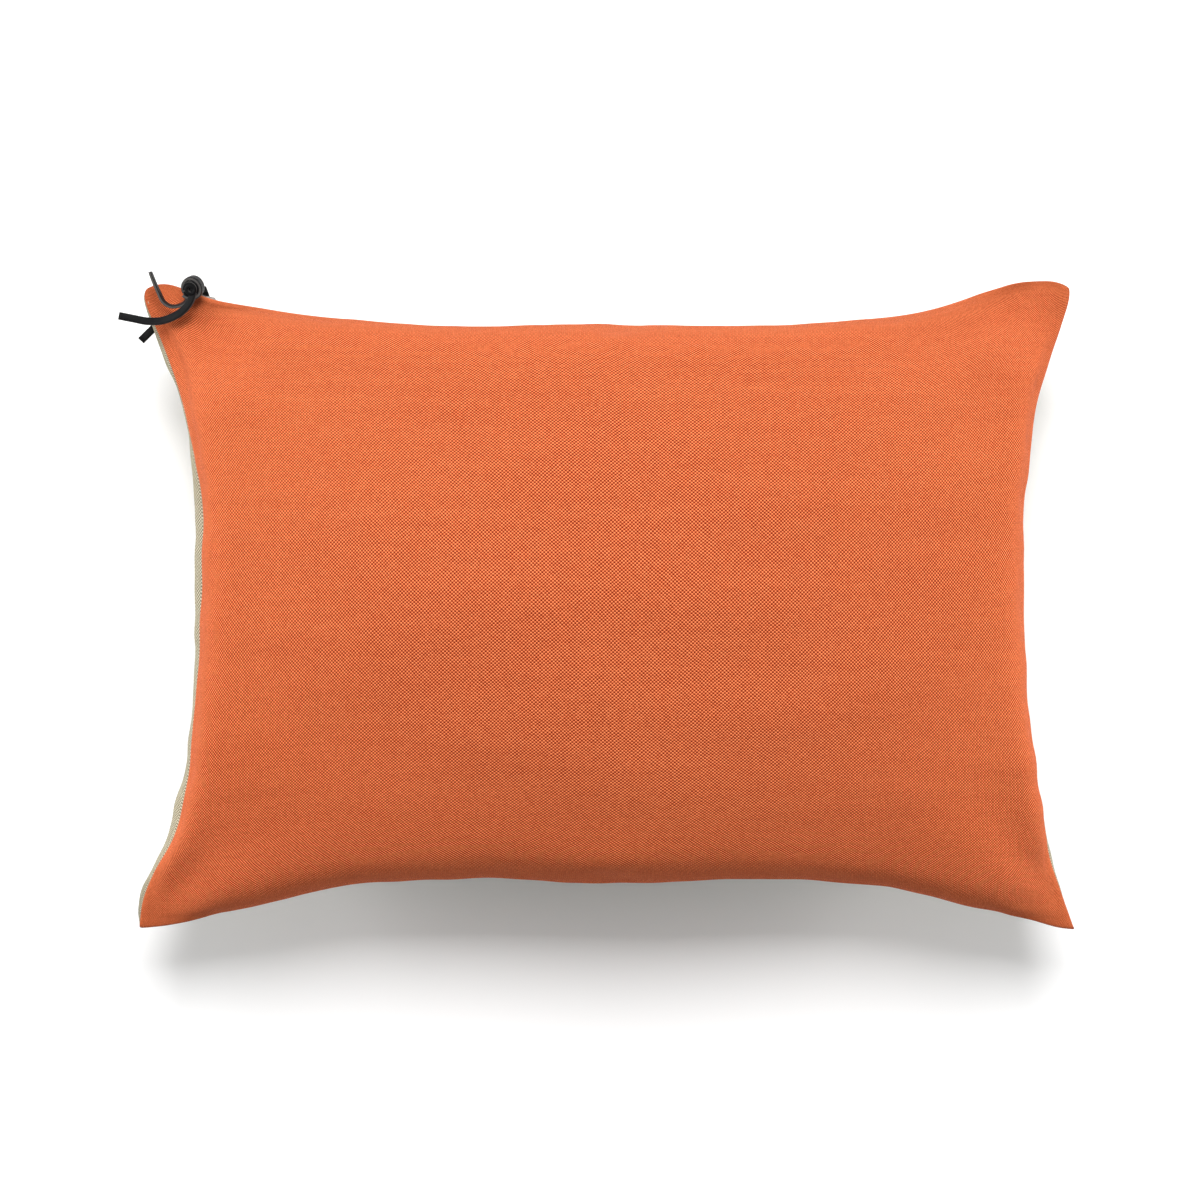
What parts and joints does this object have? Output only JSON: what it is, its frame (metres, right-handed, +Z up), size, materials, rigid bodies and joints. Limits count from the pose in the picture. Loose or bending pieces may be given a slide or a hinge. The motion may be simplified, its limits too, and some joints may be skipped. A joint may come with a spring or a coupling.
{
  "type": "zipped pillow",
  "caption": "Plump rectangular pillow with a two-coloured linen cover, an inner pad and a metal zip along one long edge, its pull tied with black leather laces.",
  "frame": {"origin": "on the table, under the middle of the pillow's box", "axes": "+Z up from the table through the crown; +X along the zip, from the closed slider to the zip's far end; +Y towards the zipped edge"},
  "size_m": [0.4979, 0.3414, 0.142],
  "materials": {
    "front_linen": "plain-weave linen, terracotta",
    "back_linen": "plain-weave linen, undyed beige",
    "thread": "spun sewing thread",
    "casing_cotton": "plain cotton",
    "filling": "loose fibre",
    "zip_tape": "woven tape",
    "zip_metal": "antique nickel",
    "lace_leather": "satin black"
  },
  "bodies": {
    "cushion": {"cover_front": "front_linen", "cover_back": "back_linen", "seam_allowance": "front_linen", "overlock_thread": "thread", "seam_thread": "thread", "pad_casing_front": "casing_cotton", "pad_casing_back": "casing_cotton", "pad_filling": "filling", "zip_tape_front": "zip_tape", "zip_tape_back": "zip_tape", "zip_teeth_front": "zip_metal", "zip_teeth_back": "zip_metal", "zip_top_stops": "zip_metal", "zip_bottom_stop": "zip_metal"},
    "slider": {"zip_slider": "zip_metal"},
    "pull": {"zip_pull": "zip_metal", "lace_knot": "lace_leather", "lace_tail_long": "lace_leather", "lace_tail_curled": "lace_leather", "lace_tail_under": "lace_leather", "lace_tail_behind": "lace_leather"}
  },
  "joints": [
    {"name": "zip_slide", "type": "hinge", "parent": "cushion", "child": "slider", "pos_m": [0, 1.60535, 0.062], "axis": [0, 0, 1], "range_deg": [0, 15.95], "deforming": ["zip_teeth_front", "zip_teeth_back"]},
    {"name": "pull_flip", "type": "hinge", "parent": "slider", "child": "pull", "pos_m": [-0.20776, 0.15955, 0.062], "axis": [0, 0, 1], "range_deg": [-150, 20], "deforming": ["lace_knot", "lace_tail_long", "lace_tail_curled", "lace_tail_under", "lace_tail_behind"]}
  ]
}
